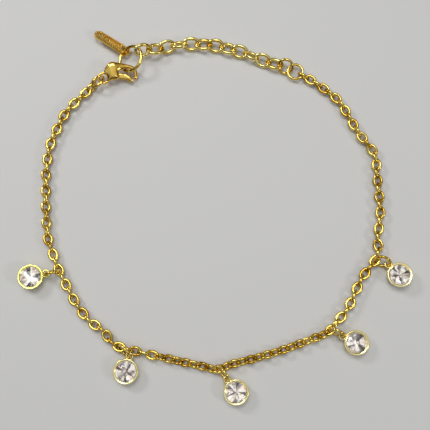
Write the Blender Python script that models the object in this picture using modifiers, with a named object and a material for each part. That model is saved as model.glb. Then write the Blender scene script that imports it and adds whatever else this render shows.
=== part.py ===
"""Charm bracelet: a fine cable chain with five stone charms, an extender, a tag and a lobster clasp.

The bracelet lies on a flat surface as a whole loop. Lengths are metres, +Z is up, and the origin is
the middle of the underside of the whole loop.
"""
import math

import bmesh
import bpy
from mathutils import Euler, Matrix, Vector

MM = 0.001

# Small clearances and joints between pieces
CLEARANCE = 0.10 * MM
LINK_BITE = 0.040 * MM
WELD = 0.0005 * MM

# Whole loop, from the outermost middle line on one side to the other
LOOP_WIDTH = 66.70 * MM

# Main chain
LINK_WIDTH = 2.05 * MM
LINK_WIRE = 0.480 * MM
LINK_PITCH = 1.626 * MM
LINK_SIDES = 10
WIRE_SIDES = 5
CHAIN_SPLIT = 0.505
CLASP_LINK_SLACK = 0.16 * MM

# Extender chain
EXTENDER_WIDTH = 3.00 * MM
EXTENDER_WIRE = 0.63 * MM
EXTENDER_PITCH = 2.52 * MM
EXTENDER_TWIST = 56.0

# Jump rings
RING_DIAMETER = 3.40 * MM
RING_WIRE = 0.50 * MM
END_RING_DIAMETER = 3.60 * MM
END_RING_HEIGHT = 1.05 * MM
END_RING_ROLL = 4.0
JOIN_RING_LEAN = 48.0
JOIN_RING_STEP = 0.755
JOIN_RING_SHIFT = 0.20
RING_SIDES = 10

# Stone charms
BEZEL_DIAMETER = 4.76 * MM
BEZEL_FOOT = 4.30 * MM
BEZEL_HEIGHT = 1.95 * MM
BEZEL_RIM = 0.42 * MM
BEZEL_STEPS = 12
CROWN_HEIGHT = 0.45 * MM
TABLE_SHARE = 0.58
LOOP_HOLE = 0.90 * MM
LOOP_WIRE = 0.34 * MM
LOOP_HEIGHT = 1.30 * MM

# Clasp
CLASP_LENGTH = 7.00 * MM
CLASP_WIDTH = 4.60 * MM
CLASP_THICKNESS = 1.70 * MM
CLASP_BLANK = 1.00 * MM
CLASP_CHAMFER = 0.20 * MM
HOOK_THICKNESS = 0.75 * MM
EYE_THICKNESS = 0.52 * MM
EYE_DIAMETER = 2.50 * MM
EYE_HOLE = 1.56 * MM
EYE_HEIGHT = 1.85 * MM
CLASP_HEADING = 17.9
CLASP_PITCH = 4.0
CLASP_ROLL = 20.0
LEVER_THICKNESS = 0.70 * MM
LEVER_CHAMFER = 0.12 * MM
PIN_DIAMETER = 0.50 * MM
PIN_INSET = 0.15 * MM
CLASP_RING_HEIGHT = 1.30 * MM
CLASP_RING_LEAN = 33.0

# Tag and its ring
TAG_RING_DIAMETER = 5.90 * MM
TAG_RING_WIRE = 0.58 * MM
TAG_RING_LEAN = 27.0
TAG_RING_RISE = 0.42 * MM
TAG_RING_JOINT = 35.0
TAG_RING_TAG = 128.0
TAG_LENGTH = 8.60 * MM
TAG_WIDTH = 2.40 * MM
TAG_THICKNESS = 0.75 * MM
TAG_CHAMFER = 0.10 * MM
TAG_RIM = 0.38 * MM
TAG_RECESS = 0.18 * MM
TAG_HOLE_WIDTH = 1.25 * MM
TAG_HOLE_SLOT = 0.30 * MM
TAG_HOLE_EDGE = 0.45 * MM
TAG_HEADING = -33.0
TAG_ROLL = -38.0

# Route of the main chain's middle line, from the clasp's ring to the extender's end ring. Routes are drawn
# in units of which the loop is 66.7 wide, so they follow its named width.
MAIN_ROUTE = [
    (-24.2, 27.7), (-26.2, 25.7), (-28.5, 23.4), (-30.6, 20.9), (-32.0, 17.8), (-33.2, 14.8),
    (-33.9, 9.8), (-33.8, 4.9), (-33.5, 0.0), (-32.9, -5.0), (-31.8, -7.8), (-30.9, -10.2),
    (-29.8, -12.3), (-27.6, -16.3), (-25.9, -18.9), (-23.9, -21.1), (-22.4, -22.0), (-21.1, -22.9),
    (-20.4, -24.2), (-19.6, -25.2), (-18.3, -25.8), (-16.8, -26.1), (-15.3, -26.5), (-10.5, -27.6),
    (-4.5, -28.9), (-1.3, -29.6), (0.4, -30.1), (1.7, -29.6), (3.2, -28.9), (4.7, -28.6),
    (7.1, -28.0), (13.0, -26.3), (18.8, -24.2), (20.5, -23.6), (21.7, -23.1), (22.5, -22.2),
    (23.7, -20.8), (25.7, -18.4), (27.1, -15.6), (28.5, -12.8), (29.6, -11.3), (30.8, -9.9),
    (31.7, -8.7), (32.1, -7.3), (32.0, -5.8), (32.3, -3.2), (32.8, -0.2), (32.8, 2.9),
    (32.5, 8.6), (32.5, 11.1), (31.9, 13.1), (30.6, 14.8), (28.8, 17.3), (25.7, 23.2),
    (23.3, 25.5), (20.7, 27.5), (18.2, 29.0), (16.6, 29.9),
]

# Route of the extender's middle line, from its end ring to the tag's ring, whose wire is the last point
EXTENDER_ROUTE = [
    (9.7, 32.3), (8.1, 33.2), (5.4, 34.3), (2.6, 35.0), (0.1, 35.7), (-2.5, 36.0),
    (-5.0, 35.9), (-7.0, 36.0), (-9.7, 35.4), (-12.4, 34.6),
]

# How far the flat of a link is turned from the surface, by share of the chain's length
MAIN_ROLL = [
    (0.00, -24), (0.014, -24), (0.018, 2), (0.03, 8), (0.11, 8), (0.13, 28), (0.21, 28), (0.23, 8),
    (0.384, 8), (0.389, -20), (0.394, -20), (0.399, 8), (0.43, 45), (0.62, 45),
    (0.65, 12), (0.73, 12), (0.76, 28), (0.85, 28), (0.88, 8), (1.00, 8),
]
EXTENDER_ROLL = [
    (0.00, 38), (0.14, 38), (0.165, 14), (0.252, 14), (0.28, 38), (0.64, 38), (0.665, 14),
    (0.752, 14), (0.78, 38), (0.94, 38), (0.95, 50), (1.00, 50),
]
# Climb of the extender to the tag's ring, by share of its length
EXTENDER_LIFT = [(0.00, 0.0), (0.68, 0.0), (0.80, 0.08), (0.90, 0.30), (1.00, 1.0)]

# Charms: share of the main chain, heading of the ring and of the charm, lean of the ring, tilt of the charm
CHARMS = [
    {"share": 0.253, "ring": 195, "charm": 195, "lean": 12, "tilt": 8},
    {"share": 0.368, "ring": 315, "charm": 258, "lean": 22, "tilt": 0},
    {"share": 0.492, "ring": 306, "charm": 306, "lean": 15, "tilt": 0},
    {"share": 0.628, "ring": 333, "charm": 333, "lean": 12, "tilt": 0},
    {"share": 0.728, "ring": 340, "charm": 313, "lean": 28, "tilt": 6},
]

# Clasp outlines, as shares of the clasp's length and width from the middle of its eye
BODY_OUTLINE = [
    (0.130, -0.200), (0.240, -0.185), (0.350, -0.215), (0.450, -0.175), (0.480, -0.020),
    (0.475, 0.110), (0.530, 0.195), (0.640, 0.215), (0.760, 0.165), (0.850, 0.065), (0.890, -0.080),
    (0.885, -0.230), (0.855, -0.320), (0.895, -0.410), (0.960, -0.310), (0.995, -0.130), (0.980, 0.070),
    (0.860, 0.240), (0.620, 0.420), (0.500, 0.510), (0.400, 0.570), (0.300, 0.585),
    (0.200, 0.510), (0.110, 0.390),
]
LEVER_OUTLINE = [
    (0.290, -0.060), (0.325, 0.040), (0.420, 0.055), (0.560, -0.010), (0.680, -0.115),
    (0.790, -0.290), (0.820, -0.370), (0.800, -0.440), (0.735, -0.455), (0.640, -0.290),
    (0.470, -0.185), (0.325, -0.150),
]
SLOT_OUTLINE = [
    (0.255, -0.330), (0.600, -0.330), (0.600, 0.150), (0.450, 0.150), (0.330, 0.095), (0.255, 0.040),
]
PIN_PLACE = (0.360, -0.055)
# Thickness along the clasp, by share of its length, as a share of the way from hook to body thickness
CLASP_SWELL = [(0.00, 0.0), (0.14, 0.35), (0.26, 1.0), (0.42, 1.0), (0.56, 0.35), (0.70, 0.0), (1.10, 0.0)]

GOLD = (0.83, 0.58, 0.20)
PALE_GOLD = (0.90, 0.70, 0.32)
TAG_GOLD = (0.78, 0.52, 0.18)


def clear_scene():
    for item in list(bpy.data.objects):
        bpy.data.objects.remove(item, do_unlink=True)
    for group in list(bpy.data.collections):
        bpy.data.collections.remove(group)


def new_collection(name):
    group = bpy.data.collections.new(name)
    bpy.context.scene.collection.children.link(group)
    return group


def metal(name, color, roughness):
    material = bpy.data.materials.new(name)
    material.use_nodes = True
    shader = material.node_tree.nodes["Principled BSDF"]
    shader.inputs["Base Color"].default_value = (*color, 1.0)
    shader.inputs["Metallic"].default_value = 1.0
    shader.inputs["Roughness"].default_value = roughness
    material.diffuse_color = (*color, 1.0)
    return material


def add_object(name, data, group, material=None):
    item = bpy.data.objects.new(name, data)
    group.objects.link(item)
    if material is not None and not data.materials:
        data.materials.append(material)
    return item


def add_part(name, mesh, color, roughness=0.18):
    """A named piece of the bracelet with a material of its own, under the bracelet's empty."""
    item = add_object(name, mesh, parts, metal(name + "_metal", color, roughness))
    item.parent = root
    return item


def add_cutter(name, mesh):
    item = add_object(name, mesh, cutters)
    item.parent = root
    item.hide_render = True
    item.display_type = "WIRE"
    return item


def boolean(item, other, operation):
    step = item.modifiers.new(operation.lower() + "_" + other.name, "BOOLEAN")
    step.operation = operation
    step.solver = "EXACT"
    step.object = other


def place(item, frame):
    item.location = frame.to_translation()
    item.rotation_euler = frame.to_euler()


def frame_from(origin, x_axis, y_axis):
    """A placement from its origin and two crossing directions, the first of which is kept exactly."""
    x_axis = x_axis.normalized()
    z_axis = x_axis.cross(y_axis).normalized()
    y_axis = z_axis.cross(x_axis)
    turn = Matrix((x_axis, y_axis, z_axis)).transposed()
    return Matrix.Translation(origin) @ turn.to_4x4()


def heading(degrees):
    return Vector((math.cos(math.radians(degrees)), math.sin(math.radians(degrees)), 0.0))


def lookup(table, share):
    """The value at a share, on straight lines between a table's rows."""
    for (left, low), (right, high) in zip(table, table[1:]):
        if share <= right:
            return low + (high - low) * max(0.0, share - left) / (right - left)
    return table[-1][1]


def mesh_of_curve(curve):
    """The mesh of a curve object, with its loose caps welded, after which the curve is removed."""
    graph = bpy.context.evaluated_depsgraph_get()
    mesh = bpy.data.meshes.new_from_object(curve.evaluated_get(graph))
    form = bmesh.new()
    form.from_mesh(mesh)
    bmesh.ops.remove_doubles(form, verts=form.verts, dist=WELD)
    bmesh.ops.recalc_face_normals(form, faces=form.faces)
    form.to_mesh(mesh)
    form.free()
    mesh.materials.clear()
    bpy.data.objects.remove(curve, do_unlink=True)
    return mesh


def closed_spline(data, points):
    spline = data.splines.new("POLY")
    spline.points.add(len(points) - 1)
    for point, place_at in zip(spline.points, points):
        point.co = (place_at[0], place_at[1], 0.0, 1.0)
    spline.use_cyclic_u = True


def oval(length, width, sides):
    """The corners of an oval whose ends are short straight sides, so that crossing ends meet mid-side."""
    stretch = 1.0 / math.cos(math.pi / sides)
    angles = [2.0 * math.pi * (step + 0.5) / sides for step in range(sides)]
    return [(0.5 * length * stretch * math.cos(a), 0.5 * width * math.sin(a)) for a in angles]


def wire_loop(points, wire):
    """A closed loop of wire through the points, its cross-section an edge-in polygon."""
    section = bpy.data.curves.new("wire_section", "CURVE")
    section.dimensions = "2D"
    angles = [math.pi + 2.0 * math.pi * step / WIRE_SIDES for step in range(WIRE_SIDES)]
    closed_spline(section, [(-0.5 * wire * math.cos(a), 0.5 * wire * math.sin(a)) for a in angles])
    section_item = add_object("wire_section", section, cutters)
    data = bpy.data.curves.new("wire_path", "CURVE")
    data.dimensions = "2D"
    data.fill_mode = "NONE"
    data.bevel_mode = "OBJECT"
    data.bevel_object = section_item
    closed_spline(data, points)
    mesh = mesh_of_curve(add_object("wire_path", data, cutters))
    bpy.data.objects.remove(section_item, do_unlink=True)
    mesh.shade_smooth()
    return mesh


def ring_mesh(diameter, wire):
    across = diameter - wire
    return wire_loop(oval(across, across, RING_SIDES), wire)


def plate_mesh(outlines, thickness, chamfer=0.0):
    """A flat plate from 2D outlines, of which the later ones are holes."""
    data = bpy.data.curves.new("plate", "CURVE")
    data.dimensions = "2D"
    data.fill_mode = "BOTH"
    data.extrude = 0.5 * thickness - chamfer
    data.bevel_depth = chamfer
    data.bevel_resolution = 0
    data.offset = -chamfer
    for outline in outlines:
        closed_spline(data, outline)
    return mesh_of_curve(add_object("plate", data, cutters))


def smooth_points(points, per_span, closed=False):
    """Points along a smooth curve through the given ones, which stays tight where they are close."""
    count = len(points)
    spans = count if closed else count - 1
    result = []
    for index in range(spans):
        if closed:
            around = [Vector(points[(index + step) % count]) for step in (-1, 0, 1, 2)]
        else:
            around = [Vector(points[min(max(index + step, 0), count - 1)]) for step in (-1, 0, 1, 2)]
        before, start, end, after = around
        chord = (end - start).length
        lead = math.sqrt(chord / max((start - before).length, 0.2 * chord))
        trail = math.sqrt(chord / max((after - end).length, 0.2 * chord))
        slope_in = (end - before) * min(1.0, lead) * 0.5
        slope_out = (after - start) * min(1.0, trail) * 0.5
        slope_in *= min(1.0, chord / max(slope_in.length, 0.001 * chord))
        slope_out *= min(1.0, chord / max(slope_out.length, 0.001 * chord))
        for step in range(per_span):
            t = step / per_span
            result.append(
                start * (2 * t**3 - 3 * t**2 + 1)
                + slope_in * (t**3 - 2 * t**2 + t)
                + end * (-2 * t**3 + 3 * t**2)
                + slope_out * (t**3 - t**2)
            )
    if not closed:
        result.append(Vector(points[-1]))
    return result


class Route:
    """A chain's middle line: closely spaced points with their distance along it."""

    def __init__(self, flat_points, height_at):
        flat = smooth_points(flat_points, 60)
        lengths = [0.0]
        for first, second in zip(flat, flat[1:]):
            lengths.append(lengths[-1] + (second - first).length)
        self.length = lengths[-1]
        self.lengths = lengths
        self.points = [Vector((p.x, p.y, height_at(s / self.length))) for p, s in zip(flat, lengths)]

    def at(self, distance):
        for index in range(1, len(self.points)):
            if self.lengths[index] >= distance:
                span = self.lengths[index] - self.lengths[index - 1]
                part = (distance - self.lengths[index - 1]) / span
                return self.points[index - 1].lerp(self.points[index], part)
        return self.points[-1].copy()

    def walk(self, start, pitch, count):
        """The joints of a chain of equal links laid along the line, and the distance that it reaches."""
        joint = self.at(start)
        joints = [joint]
        index = next(i for i, s in enumerate(self.lengths) if s > start)
        while len(joints) <= count and index < len(self.points):
            if (self.points[index] - joint).length < pitch:
                index += 1
                continue
            near = (self.points[index - 1] - joint).length
            far = (self.points[index] - joint).length
            part = (pitch - near) / (far - near)
            joint = self.points[index - 1].lerp(self.points[index], part)
            joints.append(joint)
            reach = self.lengths[index - 1] + part * (self.lengths[index] - self.lengths[index - 1])
        if len(joints) <= count:
            return joints, self.length + (count + 1 - len(joints)) * pitch
        return joints, reach

    def joints(self, start, end, pitch):
        """Joints of a whole number of links of one length that just fill the line from start to end."""
        count = round((end - start) / pitch)
        low = 0.8 * (end - start) / count
        high = 1.2 * (end - start) / count
        for _ in range(40):
            middle = 0.5 * (low + high)
            if self.walk(start, middle, count)[1] > end:
                high = middle
            else:
                low = middle
        joints = self.walk(start, low, count)[0]
        return joints, low


class Chain:
    """Fused oval links along a stretch of a route."""

    def __init__(self, name, route, start, end, pitch, width, wire, roll_at, turns, first):
        self.name = name
        joints, self.pitch = route.joints(start, end, pitch)
        self.width = width
        self.wire = wire
        self.frames = []
        for index, (left, right) in enumerate(zip(joints, joints[1:])):
            along = (right - left).normalized()
            middle = 0.5 * (left + right)
            share = (start + (index + 0.5) * (end - start) / (len(joints) - 1)) / route.length
            roll = math.radians(roll_at(share) + turns[(index + first) % 2])
            side = along.cross(Vector((0, 0, 1))).normalized()
            lift = side.cross(along)
            across = side * math.cos(roll) + lift * math.sin(roll)
            self.frames.append(frame_from(middle, along, across))

    def build(self, color):
        outline = oval(self.pitch - LINK_BITE + self.wire, self.width - self.wire, LINK_SIDES)
        link = wire_loop(outline, self.wire)
        halves = []
        for start in (0, 1):
            form = bmesh.new()
            for frame in self.frames[start::2]:
                old = len(form.verts)
                form.from_mesh(link)
                form.verts.ensure_lookup_table()
                bmesh.ops.transform(form, matrix=frame, verts=form.verts[old:])
            mesh = bpy.data.meshes.new(self.name)
            form.to_mesh(mesh)
            form.free()
            halves.append(mesh)
        item = add_part(self.name, halves[0], color)
        boolean(item, add_cutter(self.name + "_odd_links", halves[1]), "UNION")
        item.data.shade_smooth()


def link_height(width, wire, rolls):
    """Height of a link's middle over the surface when its lowest wire rests there."""
    return max(0.5 * (width - wire) * abs(math.sin(math.radians(roll))) for roll in rolls) + 0.5 * wire


def main_roll(share):
    return lookup(MAIN_ROLL, share)


def main_height(share):
    return link_height(LINK_WIDTH, LINK_WIRE, [main_roll(share) + turn for turn in MAIN_TURNS])


def extender_roll(share):
    return lookup(EXTENDER_ROLL, share)


def extender_height(share):
    rolls = [extender_roll(share) + turn for turn in EXTENDER_TURNS]
    rest = link_height(EXTENDER_WIDTH, EXTENDER_WIRE, rolls)
    return rest + lookup(EXTENDER_LIFT, share) * (extender_end.z - rest)


def level_reach(drop, lean):
    """How far level from a leaned jump ring's middle its wire passes at a height below that middle."""
    radius = 0.5 * (RING_DIAMETER - RING_WIRE)
    return math.sqrt(radius**2 - (drop / math.cos(lean)) ** 2)


def wire_reach(frame, radius, direction):
    """How far from a ring's centre its wire passes in a level direction."""
    around = [frame.to_3x3() @ (heading(step) * radius) for step in range(360)]
    return max(point.dot(direction) for point in around if abs(point.cross(direction).z) < 0.03 * radius)


def make_ring(name, diameter, wire, frame):
    item = add_part(name, ring_mesh(diameter, wire), GOLD)
    place(item, frame)


def make_setting(name, loop_reach, frame):
    """Cup, stone and loop in one body. The back is at height 0 and the loop points along -X."""
    rim = 0.5 * BEZEL_DIAMETER
    girdle = rim - BEZEL_RIM
    profile = [
        (0.0, BEZEL_HEIGHT + CROWN_HEIGHT), (TABLE_SHARE * girdle, BEZEL_HEIGHT + CROWN_HEIGHT),
        (girdle, BEZEL_HEIGHT), (rim, BEZEL_HEIGHT), (0.5 * BEZEL_FOOT, 0.0), (0.0, 0.0),
    ]
    data = bpy.data.meshes.new(name)
    edges = [(index, index + 1) for index in range(len(profile) - 1)]
    data.from_pydata([(r, 0.0, z) for r, z in profile], edges, [])
    item = add_part(name, data, PALE_GOLD, 0.15)
    place(item, frame)
    turn = item.modifiers.new("turned_setting", "SCREW")
    turn.steps = BEZEL_STEPS
    turn.render_steps = BEZEL_STEPS
    turn.use_merge_vertices = True
    turn.merge_threshold = WELD
    turn.use_normal_calculate = True
    loop = add_cutter(name + "_loop", ring_mesh(LOOP_HOLE + 2.0 * LOOP_WIRE, LOOP_WIRE))
    place(loop, frame @ Matrix.Translation((-loop_reach, 0.0, LOOP_HEIGHT)))
    boolean(item, loop, "UNION")


def make_charm(index, plan, chain_frames):
    """One charm with its jump ring, hung on the chain link that lies nearest to its place."""
    radius = 0.5 * (RING_DIAMETER - RING_WIRE)
    lean = math.radians(plan["lean"])
    outward = heading(plan["ring"])
    centre_height = radius * math.cos(lean) + 0.5 * RING_WIRE
    tilt = math.radians(plan["tilt"])
    rim = 0.5 * BEZEL_DIAMETER + (BEZEL_HEIGHT - LOOP_HEIGHT) * math.sin(tilt)
    reach = rim + 0.5 * RING_WIRE + CLEARANCE
    foot_drop = 0.5 * BEZEL_FOOT * math.sin(tilt)
    loop_height = LOOP_HEIGHT * math.cos(tilt) - reach * math.sin(tilt) + foot_drop

    def best(frame):
        drop = (centre_height - frame.to_translation().z) / (radius * math.cos(lean))
        wire_way = Vector((0, 0, 1)) * math.sqrt(max(0.0, 1.0 - drop * drop)) - outward * drop
        return abs(wire_way.dot(frame.col[2].to_3d()))

    link = max(chain_frames, key=best)
    hang = link.to_translation()
    upright = Vector((0, 0, 1)) * math.cos(lean) + heading(plan["ring"] + 90) * math.sin(lean)
    chain_drop = (centre_height - hang.z) / math.cos(lean)
    loop_drop = (centre_height - loop_height) / math.cos(lean)
    centre = hang + outward * math.sqrt(radius**2 - chain_drop**2) + upright * chain_drop
    make_ring(f"charm_ring_{index}", RING_DIAMETER, RING_WIRE, frame_from(centre, outward, upright))
    hole = centre + outward * math.sqrt(radius**2 - loop_drop**2) - upright * loop_drop
    away = heading(plan["charm"])
    turn = Matrix.Rotation(math.radians(plan["charm"]), 4, "Z") @ Matrix.Rotation(-tilt, 4, "Y")
    spot = hole + away * (reach * math.cos(tilt) + LOOP_HEIGHT * math.sin(tilt))
    spot.z = foot_drop
    make_setting(f"charm_{index}", reach + CLEARANCE, Matrix.Translation(spot) @ turn)


def clasp_points(outline):
    return [Vector((u * CLASP_LENGTH, v * CLASP_WIDTH, 0.0)) for u, v in outline]


def ellipse(centre, length, width, sides):
    angles = [2.0 * math.pi * step / sides for step in range(sides)]
    return [
        (centre[0] + 0.5 * length * math.cos(a), centre[1] + 0.5 * width * math.sin(a)) for a in angles
    ]


def make_clasp(frame):
    """The clasp's body with its eye, hook, lever slot and fixed pin, and the lever on that pin."""
    outline = clasp_points(BODY_OUTLINE)
    eye_turn = [math.radians(75 + 210 * step / 7) for step in range(8)]
    eye_radius = 0.5 * EYE_DIAMETER
    eye = [Vector((eye_radius * math.cos(a), eye_radius * math.sin(a), 0)) for a in eye_turn]
    eye_hole = ellipse((0, 0), EYE_HOLE, EYE_HOLE, 8)
    body_mesh = plate_mesh([eye + outline, eye_hole], CLASP_BLANK, CLASP_CHAMFER)
    for vertex in body_mesh.vertices:
        share = vertex.co.x / CLASP_LENGTH
        thin = EYE_THICKNESS if share < 0.1 else HOOK_THICKNESS
        thickness = thin + (CLASP_THICKNESS - thin) * lookup(CLASP_SWELL, share)
        vertex.co.z *= thickness / CLASP_BLANK
    body = add_part("clasp_body", body_mesh, GOLD)
    place(body, frame)
    slot_points = [(u * CLASP_LENGTH, v * CLASP_WIDTH) for u, v in SLOT_OUTLINE]
    slot = add_cutter("clasp_slot", plate_mesh([slot_points], LEVER_THICKNESS + 2.0 * CLEARANCE))
    place(slot, frame)
    boolean(body, slot, "DIFFERENCE")
    pin_at = (PIN_PLACE[0] * CLASP_LENGTH, PIN_PLACE[1] * CLASP_WIDTH)
    pin_outline = ellipse((0, 0), PIN_DIAMETER, PIN_DIAMETER, 8)
    pin = add_cutter("clasp_pin", plate_mesh([pin_outline], CLASP_THICKNESS - 2.0 * PIN_INSET))
    pin_frame = frame @ Matrix.Translation((*pin_at, 0.0))
    place(pin, pin_frame)
    boolean(body, pin, "UNION")
    lever_outline = [(p.x - pin_at[0], p.y - pin_at[1]) for p in clasp_points(LEVER_OUTLINE)]
    bore_size = PIN_DIAMETER + 2.0 * CLEARANCE
    bore = ellipse((0, 0), bore_size, bore_size, 8)
    lever_mesh = plate_mesh([lever_outline, bore], LEVER_THICKNESS, LEVER_CHAMFER)
    lever = add_part("clasp_lever", lever_mesh, GOLD)
    place(lever, pin_frame)


def stadium(length, width, steps):
    """The outline of a bar with round ends."""
    outline = []
    for side in (1, -1):
        for step in range(steps + 1):
            angle = math.pi * (step / steps - 0.5)
            x = side * (0.5 * (length - width) + 0.5 * width * math.cos(angle))
            outline.append((x, side * 0.5 * width * math.sin(angle)))
    return outline


def make_tag(frame):
    """The tag: a round-ended plate with a hole at each end and a plain sunk field between them."""
    hole_x = tag_hole_place()
    hole_length = TAG_HOLE_WIDTH + TAG_HOLE_SLOT
    outlines = [stadium(TAG_LENGTH, TAG_WIDTH, 4)]
    for side in (1, -1):
        outlines.append(ellipse((side * hole_x, 0.0), hole_length, TAG_HOLE_WIDTH, 8))
    tag = add_part("tag", plate_mesh(outlines, TAG_THICKNESS, TAG_CHAMFER), TAG_GOLD, 0.22)
    place(tag, frame)
    field_length = 2.0 * (hole_x - 0.5 * hole_length - TAG_RIM)
    field_width = TAG_WIDTH - 2.0 * TAG_RIM
    form = bmesh.new()
    floor = 0.5 * TAG_THICKNESS - TAG_RECESS
    bmesh.ops.create_cube(
        form, size=1.0,
        matrix=Matrix.Translation((0, 0, floor + TAG_THICKNESS))
        @ Matrix.Diagonal((field_length, field_width, 2.0 * TAG_THICKNESS, 1.0)),
    )
    recess = bpy.data.meshes.new("tag_recess")
    form.to_mesh(recess)
    form.free()
    field = add_cutter("tag_recess", recess)
    place(field, frame)
    boolean(tag, field, "DIFFERENCE")


def tag_hole_place():
    return 0.5 * TAG_LENGTH - TAG_HOLE_EDGE - 0.5 * (TAG_HOLE_WIDTH + TAG_HOLE_SLOT)


def hook_floor():
    """Where the inside of the hook crosses the clasp's middle line, measured from the eye."""
    for (left, low), (right, high) in zip(BODY_OUTLINE, BODY_OUTLINE[1:]):
        if low > 0.0 >= high:
            return CLASP_LENGTH * (left + (right - left) * low / (low - high))


def box_corners():
    """The lowest and highest corners of all the pieces together."""
    bpy.context.view_layer.update()
    graph = bpy.context.evaluated_depsgraph_get()
    low = Vector((1.0, 1.0, 1.0))
    high = -low
    for item in parts.objects:
        if item.type != "MESH":
            continue
        seen = item.evaluated_get(graph)
        for vertex in seen.data.vertices:
            point = seen.matrix_world @ vertex.co
            low = Vector(map(min, low, point))
            high = Vector(map(max, high, point))
    return low, high


MAIN_TURNS = (90.0, 0.0)
EXTENDER_TURNS = (-EXTENDER_TWIST, 0.0)

clear_scene()
parts = new_collection("charm_bracelet")
cutters = new_collection("cutters")
root = bpy.data.objects.new("bracelet_root", None)
parts.objects.link(root)

route_unit = LOOP_WIDTH / (max(x for x, y in MAIN_ROUTE) - min(x for x, y in MAIN_ROUTE))

# Clasp, with the ring that ties it to the chain
ring_radius = 0.5 * (RING_DIAMETER - RING_WIRE)
clasp_ring_at = Vector((*[value * route_unit for value in MAIN_ROUTE[0]], CLASP_RING_HEIGHT))
climb = math.asin((EYE_HEIGHT - CLASP_RING_HEIGHT) / ring_radius)
to_eye = heading(CLASP_HEADING) * math.cos(climb) + Vector((0, 0, math.sin(climb)))
ring_side = heading(CLASP_HEADING + 90) * math.cos(math.radians(CLASP_RING_LEAN))
ring_side -= Vector((0, 0, math.sin(math.radians(CLASP_RING_LEAN))))
clasp_ring_frame = frame_from(clasp_ring_at, to_eye, ring_side)
make_ring("clasp_ring", RING_DIAMETER, RING_WIRE, clasp_ring_frame)
eye_slack = 0.5 * (EYE_HOLE - RING_WIRE) - CLEARANCE
eye_at = clasp_ring_at + to_eye * (ring_radius + 0.2 * eye_slack)
clasp_turn = Euler([math.radians(a) for a in (CLASP_ROLL, CLASP_PITCH, CLASP_HEADING)])
clasp_frame = Matrix.Translation(eye_at) @ clasp_turn.to_matrix().to_4x4()
make_clasp(clasp_frame)

# Tag ring in the hook, with the tag on it
seat = clasp_frame @ Vector((hook_floor() - 0.5 * TAG_RING_WIRE - CLEARANCE, 0.0, TAG_RING_RISE))
tag_ring_radius = 0.5 * (TAG_RING_DIAMETER - TAG_RING_WIRE)
tag_ring_turn = Matrix.Rotation(math.radians(-TAG_RING_LEAN), 4, "Y")
tag_ring_frame = Matrix.Translation(seat) @ tag_ring_turn @ Matrix.Translation((0, tag_ring_radius, 0))
make_ring("tag_ring", TAG_RING_DIAMETER, TAG_RING_WIRE, tag_ring_frame)


def on_tag_ring(degrees):
    return tag_ring_frame @ (heading(degrees) * tag_ring_radius)


tag_turn = Euler([math.radians(a) for a in (TAG_ROLL, 0.0, TAG_HEADING)]).to_matrix().to_4x4()
tag_frame = Matrix.Translation(on_tag_ring(TAG_RING_TAG)) @ tag_turn
tag_frame = tag_frame @ Matrix.Translation((-tag_hole_place(), 0, 0))
make_tag(tag_frame)

# Main chain, in two runs whose end links pass through each other without touching
main_route = Route([(x * route_unit, y * route_unit) for x, y in MAIN_ROUTE], main_height)
end_radius = 0.5 * (END_RING_DIAMETER - RING_WIRE)
end_gap = 0.5 * RING_WIRE + 1.5 * CLEARANCE + 0.5 * LINK_BITE
leaving = (main_route.at(2.0 * ring_radius) - main_route.points[0]).to_2d().normalized().to_3d()
main_start = wire_reach(clasp_ring_frame, ring_radius, leaving) - end_gap - CLASP_LINK_SLACK
main_end = main_route.length - (end_radius - end_gap)
meeting = main_start + CHAIN_SPLIT * (main_end - main_start)
half_gap = 0.5 * (CLEARANCE + LINK_BITE)
link_sizes = (LINK_PITCH, LINK_WIDTH, LINK_WIRE, main_roll, MAIN_TURNS)
left = Chain("chain_left", main_route, main_start, meeting + half_gap, *link_sizes, 0)
right = Chain("chain_right", main_route, meeting - half_gap, main_end, *link_sizes, len(left.frames))
left.build(GOLD)
right.build(GOLD)

# End ring, joining ring and extender
end_at = Vector((*[value * route_unit for value in MAIN_ROUTE[-1]], END_RING_HEIGHT))
end_turn = Matrix.Rotation(math.radians(END_RING_ROLL), 4, "X")
make_ring("end_ring", END_RING_DIAMETER, RING_WIRE, Matrix.Translation(end_at) @ end_turn)

link_frames = left.frames + right.frames
for number, plan in enumerate(CHARMS, 1):
    nearest = int(plan["share"] * len(link_frames))
    make_charm(number, plan, link_frames[nearest:nearest + 2])

# Joining ring between the end ring and the extender
extender_points = [Vector((x * route_unit, y * route_unit)) for x, y in EXTENDER_ROUTE]
onward = (extender_points[1] - end_at.to_2d()).normalized().to_3d()
join_lean = math.radians(JOIN_RING_LEAN)
join_height = ring_radius * math.cos(join_lean) + 0.5 * RING_WIRE
join_side = onward.cross(Vector((0, 0, 1)))
join_at = end_at + onward * JOIN_RING_STEP * (end_radius + ring_radius)
join_at += join_side * JOIN_RING_SHIFT * ring_radius
join_at.z = join_height
join_up = Vector((0, 0, 1)) * math.cos(join_lean) + join_side * math.sin(join_lean)
make_ring("link_ring", RING_DIAMETER, RING_WIRE, frame_from(join_at, onward, join_up))

extender_end = on_tag_ring(TAG_RING_JOINT)
extender_gap = CLEARANCE + 0.5 * LINK_BITE
start_reach = level_reach(join_height - extender_height(0.0), join_lean)
start_at = join_at + onward * (start_reach - 0.5 * RING_WIRE - extender_gap)
arriving = (extender_end.to_2d() - extender_points[-1]).normalized()
past_end = extender_end.to_2d() + arriving * (0.5 * TAG_RING_WIRE + 2.0 * extender_gap)
extender_points = [start_at.to_2d()] + extender_points + [past_end]
extender_route = Route(extender_points, extender_height)
extender = Chain(
    "extender_chain", extender_route, 0.0, extender_route.length, EXTENDER_PITCH,
    EXTENDER_WIDTH, EXTENDER_WIRE, extender_roll, EXTENDER_TURNS, 0,
)
extender.build(PALE_GOLD)

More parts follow.
